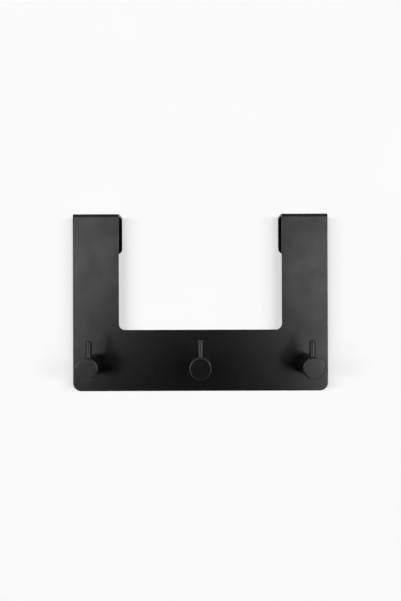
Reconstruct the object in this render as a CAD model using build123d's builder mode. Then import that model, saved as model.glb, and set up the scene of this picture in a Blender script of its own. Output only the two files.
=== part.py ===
"""Over-door hook rack in folded sheet steel.

A flat U of sheet hangs on the top edge of a door. Both uprights fold square over the door and down again
behind it, and the bar across the bottom carries three round pegs, each with an upright stop pin near its
front end.

Sizes are in millimetres, with +Z up. The front faces -Y, and +X is to the right of someone facing the rack.
The origin is on the front corner of the door's top edge, midway between the uprights: the plate's back
lies on y = 0, and the straps rest on z = 0.
"""
import os
from math import radians, sqrt, tan

from build123d import *

# Plate, cut and folded from one sheet
sheet_thickness = 2.0
plate_width = 250.0
plate_height = 174.0  # from the bottom edge to the top of the straps
upright_width = 45.0
bar_height = 60.0
outer_corner_radius = 8.0
inner_corner_radius = 6.0

# Folds over the door
door_thickness = 35.0
door_clearance = 1.0
bend_radius = 1.5  # inside each fold
flap_height = 38.0  # from the top of the strap to the flap's lower edge
flap_corner_radius = 6.0

# Pegs, turned from round bar
peg_diameter = 20.0
peg_length = 70.0
peg_chamfer = 1.0
peg_drop = 3.0  # axis below the middle of the bar

# Stop pins, pressed into the pegs from above
pin_diameter = 6.0
pin_height = 15.0  # above the peg
pin_depth = 8.0  # below the top of the peg
pin_setback = 12.0  # axis behind the peg's front face
pin_crown_radius = 12.0  # of the domed top
pin_rim_radius = 0.8  # where the dome meets the side

# Countersunk screws, one into each peg from behind
screw_diameter = 4.0
screw_reach = 12.0  # inside the peg
screw_tip_chamfer = 0.6
screw_hole_clearance = 0.2  # round the screw in the plate
countersink_land = 0.3  # straight part of the plate's hole
countersink_angle = 90.0
socket_flats = 2.5
socket_depth = 1.2
tapping_depth = 3.0  # straight hole past the screw's tip
drill_point_angle = 118.0

# Radial gap at every pressed, threaded or coned seat
seat_clearance = 0.02

# Places that follow from the sizes
door_gap = door_thickness + door_clearance
flap_bottom = sheet_thickness - flap_height
plate_bottom = sheet_thickness - plate_height
bar_top = plate_bottom + bar_height
window_width = plate_width - 2 * upright_width
peg_spacing = (plate_width - upright_width) / 2
peg_places = {"left": -peg_spacing, "middle": 0.0, "right": peg_spacing}
peg_radius = peg_diameter / 2
peg_z = plate_bottom + bar_height / 2 - peg_drop
peg_top = peg_z + peg_radius
plate_front = -sheet_thickness
pin_y = plate_front - peg_length + pin_setback
pin_radius = pin_diameter / 2
pin_shoulder = pin_height - pin_crown_radius + sqrt(pin_crown_radius**2 - pin_radius**2)

# Screw seats, shared by the plate, the pegs and the screws
screw_radius = screw_diameter / 2
screw_hole_radius = screw_radius + screw_hole_clearance
tapped_radius = screw_radius + seat_clearance
tapped_length = screw_reach + tapping_depth
drill_point = tapped_radius / tan(radians(drill_point_angle / 2))
cone_slope = tan(radians(countersink_angle / 2))
countersink_radius = screw_hole_radius + (sheet_thickness - countersink_land) * cone_slope
head_radius = countersink_radius - seat_clearance
head_cone = (head_radius - screw_radius) / cone_slope
screw_length = sheet_thickness + screw_reach

os.makedirs("parts", exist_ok=True)

# Folded plate
with BuildPart() as hook_plate:
    # The flat U, up to the level of the flaps' lower edges
    with BuildSketch(Plane.XZ) as flat:
        with Locations((0, plate_bottom)):
            Rectangle(plate_width, flap_bottom - plate_bottom, align=(Align.CENTER, Align.MIN))
        fillet(flat.vertices().group_by(Axis.Y)[0], outer_corner_radius)
        with Locations((0, bar_top)):
            Rectangle(
                window_width,
                flap_bottom - bar_top,
                align=(Align.CENTER, Align.MIN),
                mode=Mode.SUBTRACT,
            )
        window_corners = flat.vertices().filter_by_position(Axis.Y, bar_top, bar_top)
        fillet(window_corners, inner_corner_radius)
    extrude(amount=sheet_thickness)

    # The top of each upright: a strap over the door and a flap behind it
    with BuildSketch(Plane.YZ.offset(-peg_spacing), Plane.YZ.offset(peg_spacing)):
        with BuildLine():
            FilletPolyline(
                (0, flap_bottom),
                (0, 0),
                (door_gap, 0),
                (door_gap, flap_bottom),
                radius=bend_radius,
            )
            offset(amount=sheet_thickness, side=Side.LEFT)
        make_face()
    extrude(amount=upright_width / 2, both=True)

    # Rounded lower corners of the flaps
    flap_corners = hook_plate.edges().filter_by(Axis.Y).group_by(Axis.Y)[-1]
    fillet(flap_corners, flap_corner_radius)

    # Countersunk holes behind the pegs
    with Locations(*[Plane((x, 0, peg_z), z_dir=(0, 1, 0)) for x in peg_places.values()]):
        CounterSinkHole(
            screw_hole_radius,
            countersink_radius,
            depth=sheet_thickness,
            counter_sink_angle=countersink_angle,
        )

hook_plate.part.label = "hook_plate"
export_step(hook_plate.part, "parts/hook_plate.step")

# Pegs and their stop pins
for name, x in peg_places.items():
    with BuildPart() as peg:
        # Half section of the turned bar, with the tapped hole in its seat
        with BuildSketch(Plane((x, plate_front, peg_z))):
            with BuildLine():
                Polyline(
                    (tapped_radius, 0),
                    (peg_radius, 0),
                    (peg_radius, peg_chamfer - peg_length),
                    (peg_radius - peg_chamfer, -peg_length),
                    (0, -peg_length),
                    (0, -tapped_length - drill_point),
                    (tapped_radius, -tapped_length),
                    close=True,
                )
            make_face()
        revolve(axis=Axis((x, plate_front, peg_z), (0, 1, 0)))

        # Cross hole for the stop pin
        with Locations((x, pin_y, peg_top)):
            Hole(pin_radius + seat_clearance, depth=pin_depth)

    peg.part.label = f"{name}_peg"
    export_step(peg.part, f"parts/{name}_peg.step")

    with BuildPart() as stop_pin:
        # Half section of the pin, from its foot in the peg up to its domed top
        with BuildSketch(Plane((x, pin_y, peg_top), x_dir=(1, 0, 0), z_dir=(0, -1, 0))) as half:
            with BuildLine():
                RadiusArc((0, pin_height), (pin_radius, pin_shoulder), pin_crown_radius)
                Polyline(
                    (pin_radius, pin_shoulder),
                    (pin_radius, -pin_depth),
                    (0, -pin_depth),
                    (0, pin_height),
                )
            make_face()
            shoulder = half.vertices().group_by(Axis.X)[-1].sort_by(Axis.Y)[-1]
            fillet(shoulder, pin_rim_radius)
        revolve(axis=Axis((x, pin_y, peg_top), (0, 0, 1)))

    stop_pin.part.label = f"{name}_stop_pin"
    export_step(stop_pin.part, f"parts/{name}_stop_pin.step")

# Screws, flush with the plate's back
with BuildPart() as screw:
    with BuildSketch(Plane.XY):
        with BuildLine():
            Polyline(
                (0, 0),
                (head_radius, 0),
                (screw_radius, -head_cone),
                (screw_radius, screw_tip_chamfer - screw_length),
                (screw_radius - screw_tip_chamfer, -screw_length),
                (0, -screw_length),
                close=True,
            )
        make_face()
    revolve(axis=Axis.Y)
    with BuildSketch(Plane.XZ):
        RegularPolygon(socket_flats / 2, side_count=6, major_radius=False)
    extrude(amount=socket_depth, mode=Mode.SUBTRACT)

with BuildPart() as peg_screws:
    with Locations(*[(x, 0, peg_z) for x in peg_places.values()]):
        add(screw.part)

peg_screws.part.label = "peg_screws"
export_step(peg_screws.part, "parts/peg_screws.step")
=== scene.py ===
"""Looks of the over-door hook rack: its coated steel finishes, a plain studio and the camera.

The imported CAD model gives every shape. Each of its nodes gets softened edges and a procedural finish here.
Lengths are in metres in the CAD model's frame: +Z is up, the rack faces -Y, and the door's top edge is z = 0.
"""

from __future__ import annotations

import logging
import math
from dataclasses import dataclass, field, replace
from enum import Enum
from typing import Any

import bmesh
import bpy
from mathutils import Euler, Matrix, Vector


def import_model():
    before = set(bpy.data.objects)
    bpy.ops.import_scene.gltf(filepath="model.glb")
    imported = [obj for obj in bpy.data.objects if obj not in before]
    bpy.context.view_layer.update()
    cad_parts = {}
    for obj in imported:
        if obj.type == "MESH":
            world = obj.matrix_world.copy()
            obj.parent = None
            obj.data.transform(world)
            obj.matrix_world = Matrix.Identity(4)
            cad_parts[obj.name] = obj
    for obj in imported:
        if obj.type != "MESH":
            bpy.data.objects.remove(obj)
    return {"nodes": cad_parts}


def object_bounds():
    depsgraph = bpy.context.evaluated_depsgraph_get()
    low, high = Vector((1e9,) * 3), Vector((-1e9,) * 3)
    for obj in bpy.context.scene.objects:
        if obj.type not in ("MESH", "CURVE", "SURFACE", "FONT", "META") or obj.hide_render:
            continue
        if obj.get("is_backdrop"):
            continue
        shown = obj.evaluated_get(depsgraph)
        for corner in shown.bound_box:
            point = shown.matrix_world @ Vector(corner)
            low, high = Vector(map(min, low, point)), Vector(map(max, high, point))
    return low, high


QUARTER_TURN = math.pi / 2  # about X, it tilts a lamp or camera from facing down to facing +Y
Colour = tuple[float, float, float, float]
Point = tuple[float, float, float]

log = logging.getLogger("hook_rack")


class Side(Enum):
    """A place from left to right, as the CAD nodes and the lamps name it."""

    LEFT = "left"
    MIDDLE = "middle"
    RIGHT = "right"


class RayKind(Enum):
    """A kind of ray that shows the pale surround of the studio."""

    CAMERA = "Is Camera Ray"
    GLOSSY = "Is Glossy Ray"
    TRANSMISSION = "Is Transmission Ray"


class LampUse(Enum):
    """What a lamp is for."""

    WASH = "lights the matte surfaces and casts the shadows"
    GLEAM = "is mirrored in the satin coat"


class OutputKind(Enum):
    """What a node tree belongs to, by the type of its output node."""

    MATERIAL = "ShaderNodeOutputMaterial"
    WORLD = "ShaderNodeOutputWorld"


class ShaderTree:
    """Adds and joins the nodes of one material or world.

    Attributes:
        pattern_low: Height that a noise pattern seldom falls below.
        pattern_high: Height that it seldom rises above.
    """

    pattern_low: float = 0.25
    pattern_high: float = 0.75

    def __init__(self, owner: bpy.types.Material | bpy.types.World) -> None:
        """Gives a material or world an empty node tree.

        Args:
            owner: The material or world.
        """
        owner.use_nodes = True
        self.tree = owner.node_tree
        self.tree.nodes.clear()

    def add(self, kind: str, sockets: dict[str, Any] | None = None, **settings: Any) -> bpy.types.Node:
        """Adds a node.

        Args:
            kind: Blender's name of the node type.
            sockets: Values for the node's inputs, by socket name.
            **settings: Values for the node's own properties.

        Returns:
            The new node.
        """
        node = self.tree.nodes.new(kind)
        for name, value in settings.items():
            setattr(node, name, value)
        for name, value in (sockets or {}).items():
            node.inputs[name].default_value = value
        return node

    def join(self, source: bpy.types.NodeSocket, target: bpy.types.NodeSocket) -> None:
        """Links an output to an input."""
        self.tree.links.new(source, target)

    def place(self) -> bpy.types.NodeSocket:
        """Gives the coordinates of the object that carries the material."""
        return self.add("ShaderNodeTexCoord").outputs["Object"]

    def noise(self, place: bpy.types.NodeSocket, size: float, detail: float) -> bpy.types.NodeSocket:
        """Adds a noise pattern.

        Args:
            place: Coordinates that the pattern follows.
            size: Length of its largest features.
            detail: Number of finer layers.

        Returns:
            The pattern's height, from 0 to 1.
        """
        node = self.add("ShaderNodeTexNoise", {"Scale": 1.0 / size, "Detail": detail})
        self.join(place, node.inputs["Vector"])
        return node.outputs["Fac"]

    def spread(self, pattern: bpy.types.NodeSocket, low: float, high: float) -> bpy.types.NodeSocket:
        """Maps the middle half of a noise pattern onto a range of values.

        Args:
            pattern: Height of the pattern, from 0 to 1.
            low: Value where the pattern is low.
            high: Value where the pattern is high.

        Returns:
            The mapped value.
        """
        source = {"From Min": self.pattern_low, "From Max": self.pattern_high}
        node = self.add("ShaderNodeMapRange", source | {"To Min": low, "To Max": high})
        self.join(pattern, node.inputs["Value"])
        return node.outputs["Result"]

    def mix(self, share: bpy.types.NodeSocket, first: Colour, second: Colour) -> bpy.types.NodeSocket:
        """Mixes two colours.

        Args:
            share: Share of the second colour, from 0 to 1.
            first: Colour where the share is 0.
            second: Colour where the share is 1.

        Returns:
            The mixed colour.
        """
        node = self.add("ShaderNodeMix", {"A": first, "B": second}, data_type="RGBA")
        self.join(share, node.inputs["Factor"])
        return node.outputs["Result"]

    def mottle(self, pattern: bpy.types.NodeSocket, low: Colour, high: Colour) -> bpy.types.NodeSocket:
        """Colours a noise pattern, from one colour where it is low to another where it is high."""
        return self.mix(self.spread(pattern, 0.0, 1.0), low, high)

    def relief(
        self,
        pattern: bpy.types.NodeSocket,
        height: float,
        below: bpy.types.NodeSocket | None = None,
    ) -> bpy.types.NodeSocket:
        """Raises a pattern on the surface as bumps.

        Args:
            pattern: Height of the pattern, from 0 to 1.
            height: Depth of the relief from its lowest to its highest point.
            below: Normal of a coarser relief that this one lies on.

        Returns:
            The normal of the surface with its relief.
        """
        node = self.add("ShaderNodeBump", {"Strength": 1.0, "Distance": height})
        self.join(pattern, node.inputs["Height"])
        if below is not None:
            self.join(below, node.inputs["Normal"])
        return node.outputs["Normal"]

    def shown(self) -> bpy.types.NodeSocket:
        """Tells rays that show the surround from rays that only light the rack.

        Returns:
            1 for a camera, glossy or transmission ray, and 0 for the others.
        """
        path = self.add("ShaderNodeLightPath")
        seen = path.outputs[RayKind.CAMERA.value]
        for kind in (RayKind.GLOSSY, RayKind.TRANSMISSION):
            either = self.add("ShaderNodeMath", operation="MAXIMUM")
            self.join(seen, either.inputs[0])
            self.join(path.outputs[kind.value], either.inputs[1])
            seen = either.outputs["Value"]
        return seen

    def blend(
        self,
        share: bpy.types.NodeSocket,
        first: bpy.types.NodeSocket,
        second: bpy.types.NodeSocket,
    ) -> bpy.types.NodeSocket:
        """Blends two shaders.

        Args:
            share: Share of the second shader, from 0 to 1.
            first: Shader where the share is 0.
            second: Shader where the share is 1.

        Returns:
            The blended shader.
        """
        node = self.add("ShaderNodeMixShader")
        self.join(share, node.inputs["Fac"])
        self.join(first, node.inputs[1])
        self.join(second, node.inputs[2])
        return node.outputs["Shader"]

    def close(self, surface: bpy.types.NodeSocket, kind: OutputKind = OutputKind.MATERIAL) -> None:
        """Ends the tree with its finished shader."""
        self.join(surface, self.add(kind.value).inputs["Surface"])


@dataclass(frozen=True)
class Finish:
    """A finish of steel that mirrors as dark metal does, with a cloudy pattern in its tint and gloss.

    Attributes:
        name: Name of the material.
        smooth_tint: Colour where the surface is smoothest.
        rough_tint: Colour where it is roughest.
        smooth: Roughness where it is smoothest.
        rough: Roughness where it is roughest.
        cloud_size: Length of the pattern's largest features.
        cloud_detail: Number of finer layers in the pattern.
        edge_tint: What is left of the reflection on surfaces seen edge-on.
        metallic: Share of the metal-like reflection.
    """

    name: str
    smooth_tint: Colour
    rough_tint: Colour
    smooth: float
    rough: float
    cloud_size: float
    cloud_detail: float = 4.0
    edge_tint: Colour = (1.0, 1.0, 1.0, 1.0)
    metallic: float = 1.0

    def relief(
        self,
        tree: ShaderTree,
        place: bpy.types.NodeSocket,
        cloud: bpy.types.NodeSocket,
    ) -> bpy.types.NodeSocket:
        """Gives the normal of the surface with its fine relief."""
        raise NotImplementedError

    def material(self) -> bpy.types.Material:
        """Builds the finish as a node material.

        Returns:
            The material.
        """
        material = bpy.data.materials.new(self.name)
        tree = ShaderTree(material)
        place = tree.place()
        constants = {"Metallic": self.metallic, "Specular Tint": self.edge_tint}
        shader = tree.add("ShaderNodeBsdfPrincipled", constants)
        cloud = tree.noise(place, self.cloud_size, self.cloud_detail)
        tree.join(tree.mottle(cloud, self.smooth_tint, self.rough_tint), shader.inputs["Base Color"])
        tree.join(tree.spread(cloud, self.smooth, self.rough), shader.inputs["Roughness"])
        tree.join(self.relief(tree, place, cloud), shader.inputs["Normal"])
        tree.close(shader.outputs["BSDF"])
        return material


@dataclass(frozen=True)
class SatinBlack(Finish):
    """Satin black coat: a fine orange peel, with handling marks that are rougher and darker."""

    smooth_tint: Colour = (0.05, 0.05, 0.0505, 1.0)
    rough_tint: Colour = (0.037, 0.037, 0.0375, 1.0)
    smooth: float = 0.24
    rough: float = 0.27
    cloud_size: float = 0.02
    edge_tint: Colour = (0.45, 0.45, 0.45, 1.0)
    peel_size: float = 0.0016
    peel_height: float = 0.000012
    grain_size: float = 0.00035
    grain_height: float = 0.000004
    relief_detail: float = 1.0

    def relief(
        self,
        tree: ShaderTree,
        place: bpy.types.NodeSocket,
        cloud: bpy.types.NodeSocket,
    ) -> bpy.types.NodeSocket:
        """Raises the orange peel with a grain on it."""
        peel = tree.relief(tree.noise(place, self.peel_size, self.relief_detail), self.peel_height)
        return tree.relief(tree.noise(place, self.grain_size, self.relief_detail), self.grain_height, peel)


@dataclass(frozen=True)
class BlackOxide(Finish):
    """Blackened steel of the screws, with a faint mottle."""

    smooth_tint: Colour = (0.06, 0.06, 0.062, 1.0)
    rough_tint: Colour = (0.12, 0.117, 0.114, 1.0)
    smooth: float = 0.3
    rough: float = 0.5
    cloud_size: float = 0.0012
    mottle_height: float = 0.000006

    def relief(
        self,
        tree: ShaderTree,
        place: bpy.types.NodeSocket,
        cloud: bpy.types.NodeSocket,
    ) -> bpy.types.NodeSocket:
        """Raises the mottle itself."""
        return tree.relief(cloud, self.mottle_height)


@dataclass(frozen=True)
class SoftEdge:
    """Rounding that a coat or a deburring leaves on a hard edge.

    Attributes:
        radius: Radius of the rounding.
        segments: Number of facets across it.
        sharpest: Largest turn between two faces that is left as it is.
        weld: Distance below which two corners are joined.
        flat: Largest turn between the facets of one face.
    """

    radius: float
    segments: int = 3
    sharpest: float = math.radians(30.0)
    weld: float = 1e-6
    flat: float = math.radians(0.5)

    def soften(self, part: bpy.types.Object) -> None:
        """Rounds a part's edges with modifiers, which leave its mesh as it is.

        Args:
            part: The object whose edges are rounded.
        """
        joined = part.modifiers.new("joined_facets", "WELD")
        joined.merge_threshold = self.weld

        faces = part.modifiers.new("whole_faces", "DECIMATE")
        faces.decimate_type = "DISSOLVE"
        faces.angle_limit = self.flat

        rounded = part.modifiers.new("soft_edges", "BEVEL")
        rounded.width = self.radius
        rounded.segments = self.segments
        rounded.limit_method = "ANGLE"
        rounded.angle_limit = self.sharpest

        shading = part.modifiers.new("even_shading", "WEIGHTED_NORMAL")
        shading.keep_sharp = False


@dataclass
class CoatedPart:
    """A sub-assembly whose shapes come from CAD nodes and whose finish is made here."""

    finish: Finish
    edge: SoftEdge

    def node_names(self) -> list[str]:
        """Names the CAD nodes of the sub-assembly."""
        raise NotImplementedError

    def dress(self, nodes: dict[str, bpy.types.Object]) -> None:
        """Softens the edges of every node of the sub-assembly and gives it the finish.

        Args:
            nodes: The CAD objects by node name.
        """
        material = self.finish.material()
        for name in self.node_names():
            part = nodes[name]
            self.edge.soften(part)
            part.data.materials.clear()
            part.data.materials.append(material)
            log.info("%s: finished in %s", name, self.finish.name)


@dataclass
class HookPlate(CoatedPart):
    """The folded plate: a U of sheet whose uprights fold over the door."""

    finish: Finish = SatinBlack("plate_satin_black")
    edge: SoftEdge = SoftEdge(0.0003)

    def node_names(self) -> list[str]:
        """Names the plate's node."""
        return ["hook_plate"]


@dataclass
class PegRow(CoatedPart):
    """The three round pegs, turned steel with a paler coat."""

    finish: Finish = SatinBlack(
        "peg_satin_black",
        smooth_tint=(0.0545, 0.0545, 0.055, 1.0),
        rough_tint=(0.041, 0.041, 0.0415, 1.0),
    )
    edge: SoftEdge = SoftEdge(0.00012)

    def node_names(self) -> list[str]:
        """Names the pegs' nodes."""
        return [f"{side.value}_peg" for side in Side]


@dataclass
class StopPins(CoatedPart):
    """The stop pin on each peg, drawn wire with a smoother and deeper coat."""

    finish: Finish = SatinBlack(
        "pin_satin_black",
        smooth_tint=(0.034, 0.034, 0.0344, 1.0),
        rough_tint=(0.028, 0.028, 0.0283, 1.0),
        smooth=0.06,
        rough=0.08,
    )
    edge: SoftEdge = SoftEdge(0.00012)

    def node_names(self) -> list[str]:
        """Names the pins' nodes."""
        return [f"{side.value}_stop_pin" for side in Side]


@dataclass
class PegScrews(CoatedPart):
    """The countersunk screws that hold the pegs from behind."""

    finish: Finish = BlackOxide("screw_black_oxide")
    edge: SoftEdge = SoftEdge(0.00008, segments=2)

    def node_names(self) -> list[str]:
        """Names the screws' node."""
        return ["peg_screws"]


@dataclass(frozen=True)
class Strip:
    """A strip of paper or cloth, straight across and laid along a line of points.

    Attributes:
        half_width: Half of its width along X.
        line: Pairs of Y and Z that it passes through.
    """

    half_width: float
    line: tuple[tuple[float, float], ...]

    def lay(self, shape: bmesh.types.BMesh, smooth: bool) -> None:
        """Adds the strip's faces to a mesh.

        Args:
            shape: The mesh.
            smooth: Whether the strip is shaded as one curve.
        """
        ends = (-self.half_width, self.half_width)
        rows = [[shape.verts.new((x, y, z)) for x in ends] for y, z in self.line]
        for upper, lower in zip(rows, rows[1:]):
            face = shape.faces.new((upper[0], lower[0], lower[1], upper[1]))
            face.smooth = smooth


def hang(name: str, strips: list[Strip], material: bpy.types.Material, smooth: bool) -> bpy.types.Object:
    """Makes one object of some strips and puts it in the scene.

    Args:
        name: Name of the object and its mesh.
        strips: The strips.
        material: What they are made of.
        smooth: Whether they are shaded as one curve.

    Returns:
        The object.
    """
    shape = bmesh.new()
    for strip in strips:
        strip.lay(shape, smooth)
    mesh = bpy.data.meshes.new(name)
    shape.to_mesh(mesh)
    shape.free()
    mesh.materials.append(material)
    hung = bpy.data.objects.new(name, mesh)
    bpy.context.scene.collection.objects.link(hung)
    return hung


@dataclass
class PaperSweep:
    """White paper that hangs behind the rack and curves forward into the floor.

    Near the rack it takes shadows. Beyond their end it has the even tone of the surround.

    Attributes:
        gap: Space between the rack and the paper.
        half_width: Half of the paper's width.
        top: Height of its upper edge.
        floor: Height of the floor.
        curve_radius: Radius of the curve into the floor.
        curve_steps: Number of facets along the curve.
        front: Y of its front edge.
        colour: Colour of the paper.
        shade: Colour of its mottle.
        mottle_size: Length of the mottle's largest features.
        mottle_detail: Number of finer layers in the mottle.
        roughness: Roughness of the matte surface.
        near_glow: Strength of the glow near the rack.
        far_colour: Colour beyond the shadows.
        far_glow: Strength of the glow beyond the shadows.
        middle: Point that the shadows are measured from.
        shadow_reach: Distance at which the shadows begin to fade.
        shadow_end: Distance at which they have faded.
    """

    gap: float = 0.0015
    half_width: float = 2.4
    top: float = 2.0
    floor: float = -0.85
    curve_radius: float = 0.35
    curve_steps: int = 24
    front: float = -3.0
    colour: Colour = (0.94, 0.94, 0.94, 1.0)
    shade: Colour = (0.925, 0.925, 0.925, 1.0)
    mottle_size: float = 0.12
    mottle_detail: float = 3.0
    roughness: float = 0.9
    near_glow: float = 0.41
    far_colour: Colour = (0.965, 0.965, 0.965, 1.0)
    far_glow: float = 1.0
    middle: Point = (0.0, 0.0, -0.085)
    shadow_reach: float = 0.42
    shadow_end: float = 0.75

    def profile(self, wall: float) -> tuple[tuple[float, float], ...]:
        """Lists the points of the sweep from its top to its front edge.

        Args:
            wall: Y of the hanging part.

        Returns:
            Pairs of Y and Z.
        """
        points = [(wall, self.top)]
        for step in range(self.curve_steps + 1):
            turn = QUARTER_TURN * step / self.curve_steps
            y = wall - self.curve_radius * (1.0 - math.cos(turn))
            z = self.floor + self.curve_radius * (1.0 - math.sin(turn))
            points.append((y, z))
        points.append((self.front, self.floor))
        return tuple(points)

    def glow(self, tree: ShaderTree, colour: Colour, strength: float) -> bpy.types.NodeSocket:
        """Adds a glow that shows only to the eye and in reflections.

        Args:
            tree: The material's tree.
            colour: Colour of the glow.
            strength: Its strength, where 1 is white for a white colour.

        Returns:
            The glow's shader.
        """
        glow = tree.add("ShaderNodeEmission", {"Color": colour})
        amount = tree.add("ShaderNodeMath", operation="MULTIPLY")
        amount.inputs[1].default_value = strength
        tree.join(tree.shown(), amount.inputs[0])
        tree.join(amount.outputs["Value"], glow.inputs["Strength"])
        return glow.outputs["Emission"]

    def near(self, tree: ShaderTree, place: bpy.types.NodeSocket) -> bpy.types.NodeSocket:
        """Builds the paper near the rack: matte, faintly mottled and lifted by a glow.

        Args:
            tree: The material's tree.
            place: Coordinates of the sweep.

        Returns:
            The shader.
        """
        mottle = tree.noise(place, self.mottle_size, self.mottle_detail)
        matte = tree.add("ShaderNodeBsdfDiffuse", {"Roughness": self.roughness})
        tree.join(tree.mottle(mottle, self.shade, self.colour), matte.inputs["Color"])
        lifted = tree.add("ShaderNodeAddShader")
        tree.join(matte.outputs["BSDF"], lifted.inputs[0])
        tree.join(self.glow(tree, self.colour, self.near_glow), lifted.inputs[1])
        return lifted.outputs["Shader"]

    def distance(self, tree: ShaderTree, place: bpy.types.NodeSocket) -> bpy.types.NodeSocket:
        """Measures how far a point lies beyond the shadows.

        Args:
            tree: The material's tree.
            place: Coordinates of the sweep.

        Returns:
            0 near the rack and 1 beyond the end of the shadows.
        """
        away = tree.add("ShaderNodeVectorMath", operation="DISTANCE")
        away.inputs[1].default_value = self.middle
        tree.join(place, away.inputs[0])
        ends = {"From Min": self.shadow_reach, "From Max": self.shadow_end}
        fade = tree.add("ShaderNodeMapRange", ends, interpolation_type="SMOOTHSTEP")
        tree.join(away.outputs["Value"], fade.inputs["Value"])
        return fade.outputs["Result"]

    def paper(self) -> bpy.types.Material:
        """Builds the paper, which is clear when seen from behind.

        Returns:
            The material.
        """
        paper = bpy.data.materials.new("white_paper")
        tree = ShaderTree(paper)
        place = tree.place()
        far = self.glow(tree, self.far_colour, self.far_glow)
        front = tree.blend(self.distance(tree, place), self.near(tree, place), far)
        behind = tree.add("ShaderNodeNewGeometry").outputs["Backfacing"]
        clear = tree.add("ShaderNodeBsdfTransparent").outputs["BSDF"]
        tree.close(tree.blend(behind, front, clear))
        return paper

    def build(self, back: float) -> bpy.types.Object:
        """Makes the sweep as a stage piece.

        Args:
            back: Y of the rack's rearmost point.

        Returns:
            The sweep.
        """
        strip = Strip(self.half_width, self.profile(back + self.gap))
        sweep = hang("paper_sweep", [strip], self.paper(), smooth=True)
        sweep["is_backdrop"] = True
        log.info("paper_sweep: %.1f m wide", 2.0 * self.half_width)
        return sweep


@dataclass
class DarkDrape:
    """Dark cloth behind the camera, on the floor, close under the pegs and overhead.

    The coat mirrors it as its deep tone.
    """

    behind: Strip = Strip(5.0, ((-3.0, 1.4), (-3.0, -0.84)))
    floor: Strip = Strip(1.0, ((-3.0, -0.84), (-1.3, -0.84)))
    under: Strip = Strip(0.085, ((-0.12, -0.205), (-0.066, -0.205)))
    above: Strip = Strip(0.35, ((-0.95, 0.9), (-0.2, 0.9)))
    colour: Colour = (0.012, 0.012, 0.012, 1.0)

    def cloth(self) -> bpy.types.Material:
        """Builds the matte dark cloth.

        Returns:
            The material.
        """
        cloth = bpy.data.materials.new("dark_cloth")
        tree = ShaderTree(cloth)
        tree.close(tree.add("ShaderNodeBsdfDiffuse", {"Color": self.colour}).outputs["BSDF"])
        return cloth

    def build(self) -> bpy.types.Object:
        """Makes the drape as a stage piece that only reflections show.

        Returns:
            The drape.
        """
        strips = [self.behind, self.floor, self.under, self.above]
        drape = hang("dark_drape", strips, self.cloth(), smooth=False)
        drape.visible_camera = False
        drape.visible_diffuse = False
        drape.visible_shadow = False
        drape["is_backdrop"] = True
        log.info("dark_drape: %d strips of cloth", len(strips))
        return drape


@dataclass(frozen=True)
class SoftPanel:
    """A soft light panel that faces the rack.

    Attributes:
        name: Name of the lamp.
        use: What the panel is for.
        centre: Place of its middle.
        width: Its size across.
        height: Its size upwards.
        brightness: Its radiance, where 1 is mirrored as white paper is.
        turn: Degrees that it is turned about Z from facing +Y.
    """

    name: str
    use: LampUse
    centre: Point
    width: float
    height: float
    brightness: float
    turn: float = 0.0

    def both_sides(self) -> list[SoftPanel]:
        """Names the panel as the left one of a pair, and mirrors it for the right one.

        Returns:
            The left and the right panel.
        """
        x, y, z = self.centre
        left = replace(self, name=f"{Side.LEFT.value}_{self.name}")
        right = replace(self, name=f"{Side.RIGHT.value}_{self.name}", centre=(-x, y, z), turn=-self.turn)
        return [left, right]

    def build(self) -> bpy.types.Object:
        """Makes the panel as an area lamp.

        Returns:
            The lamp.
        """
        lamp = bpy.data.lights.new(self.name, "AREA")
        lamp.shape = "RECTANGLE"
        lamp.size = self.width
        lamp.size_y = self.height
        lamp.energy = self.brightness * math.pi * self.width * self.height
        panel = bpy.data.objects.new(self.name, lamp)
        panel.location = self.centre
        panel.rotation_euler = Euler((QUARTER_TURN, 0.0, math.radians(self.turn)))
        panel.visible_camera = False
        panel.visible_diffuse = self.use is LampUse.WASH
        panel.visible_glossy = self.use is LampUse.GLEAM
        bpy.context.scene.collection.objects.link(panel)
        log.info("%s: %s", self.name, self.use.value)
        return panel


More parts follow.
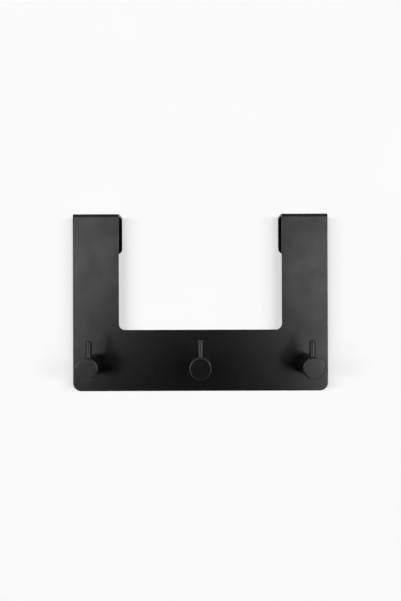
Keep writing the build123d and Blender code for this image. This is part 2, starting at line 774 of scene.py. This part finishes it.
@dataclass
class Studio:
    """The plain studio: paper sweep, drape, soft panels and a pale surround.

    The panels beside the camera differ from left to right. The others stand in pairs, given by the left one.

    Attributes:
        sweep: The paper sweep.
        drape: The dark cloth.
        left_upper: Panel mirrored in the left upright.
        left_lower: Panel mirrored at the plate's lower left edge.
        right_upper: Panel mirrored in the right upright.
        right_lower: Panel mirrored at the plate's lower right edge.
        middle: Weak panel mirrored along the top of the bar.
        side_pair: Tall panels to the left and right, in front of the rack.
        end_pair: Narrow panels beyond the rack's ends.
        near_pair: Main lamps for the paper.
        far_pair: Wider lamps for the paper, further out.
        surround: Colour that the eye and reflections see around the studio.
        ambient: Colour of the surround's light.
    """

    sweep: PaperSweep = field(default_factory=PaperSweep)
    drape: DarkDrape = field(default_factory=DarkDrape)
    left_upper: SoftPanel = SoftPanel(
        "left_upper_panel",
        LampUse.GLEAM,
        centre=(-0.248, -0.86, 0.0445),
        width=0.208,
        height=0.238,
        brightness=3.0,
    )
    left_lower: SoftPanel = SoftPanel(
        "left_lower_panel",
        LampUse.GLEAM,
        centre=(-0.372, -0.86, -0.157),
        width=0.25,
        height=0.12,
        brightness=5.1,
    )
    right_upper: SoftPanel = SoftPanel(
        "right_upper_panel",
        LampUse.GLEAM,
        centre=(0.285, -0.86, 0.0241),
        width=0.24,
        height=0.281,
        brightness=3.05,
    )
    right_lower: SoftPanel = SoftPanel(
        "right_lower_panel",
        LampUse.GLEAM,
        centre=(0.4, -0.86, -0.205),
        width=0.322,
        height=0.115,
        brightness=5.4,
    )
    middle: SoftPanel = SoftPanel(
        "middle_panel",
        LampUse.GLEAM,
        centre=(0.02, -0.86, -0.055),
        width=0.26,
        height=0.12,
        brightness=0.25,
    )
    side_pair: SoftPanel = SoftPanel(
        "side_panel",
        LampUse.GLEAM,
        centre=(-0.724, -0.502, -0.15),
        width=0.26,
        height=1.3,
        brightness=1.8,
        turn=-58.0,
    )
    end_pair: SoftPanel = SoftPanel(
        "end_panel",
        LampUse.GLEAM,
        centre=(-0.6, -0.026, 0.095),
        width=0.117,
        height=0.39,
        brightness=2.1,
        turn=-90.0,
    )
    near_pair: SoftPanel = SoftPanel(
        "near_wash",
        LampUse.WASH,
        centre=(-0.375, -2.6, 0.03),
        width=0.45,
        height=0.12,
        brightness=81.0,
    )
    far_pair: SoftPanel = SoftPanel(
        "far_wash",
        LampUse.WASH,
        centre=(-1.0, -2.6, 0.03),
        width=0.8,
        height=0.12,
        brightness=28.0,
    )
    surround: Colour = (0.965, 0.965, 0.965, 1.0)
    ambient: Colour = (0.05, 0.05, 0.05, 1.0)

    def panels(self) -> list[SoftPanel]:
        """Lists every panel, with both of each pair.

        Returns:
            The panels.
        """
        panels = [self.left_upper, self.left_lower, self.right_upper, self.right_lower, self.middle]
        for pair in (self.side_pair, self.end_pair, self.near_pair, self.far_pair):
            panels.extend(pair.both_sides())
        return panels

    def world(self) -> bpy.types.World:
        """Builds the surround, pale to the eye and in reflections and dim as a light.

        Returns:
            The world.
        """
        world = bpy.data.worlds.new("studio_surround")
        tree = ShaderTree(world)
        light = tree.add("ShaderNodeBackground")
        tree.join(tree.mix(tree.shown(), self.ambient, self.surround), light.inputs["Color"])
        tree.close(light.outputs["Background"], OutputKind.WORLD)
        bpy.context.scene.world = world
        return world

    def build(self, back: float) -> None:
        """Sets up the whole studio.

        Args:
            back: Y of the rack's rearmost point.
        """
        self.sweep.build(back)
        self.drape.build()
        for panel in self.panels():
            panel.build()
        self.world()


@dataclass
class PhotoCamera:
    """The camera, square to the plate and level with its middle.

    Attributes:
        place: Where it stands.
        lens: Focal length in millimetres.
        sensor: Width of the sensor in millimetres.
        roll: Turn about the line of sight.
    """

    place: Point = (0.00015, -0.847, -0.0833)
    lens: float = 51.6
    sensor: float = 36.0
    roll: float = math.radians(0.19)

    def build(self) -> bpy.types.Object:
        """Makes the camera and gives it to the scene.

        Returns:
            The camera.
        """
        data = bpy.data.cameras.new("photo_camera")
        data.lens = self.lens
        data.sensor_width = self.sensor
        camera = bpy.data.objects.new("photo_camera", data)
        camera.location = self.place
        camera.rotation_euler = Euler((QUARTER_TURN, self.roll, 0.0))
        bpy.context.scene.collection.objects.link(camera)
        bpy.context.scene.camera = camera
        log.info("photo_camera: %.0f mm lens", self.lens)
        return camera


def main() -> None:
    """Dresses the rack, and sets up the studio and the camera."""
    logging.basicConfig(level=logging.INFO, format="%(message)s")
    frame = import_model()
    bpy.context.view_layer.update()
    cad_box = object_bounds()
    for part in (HookPlate(), PegRow(), StopPins(), PegScrews()):
        part.dress(frame["nodes"])
    Studio().build(cad_box[1].y)
    PhotoCamera().build()
    bpy.context.scene.view_settings.view_transform = "Standard"
    bpy.context.view_layer.update()


if __name__ == "__main__":
    main()
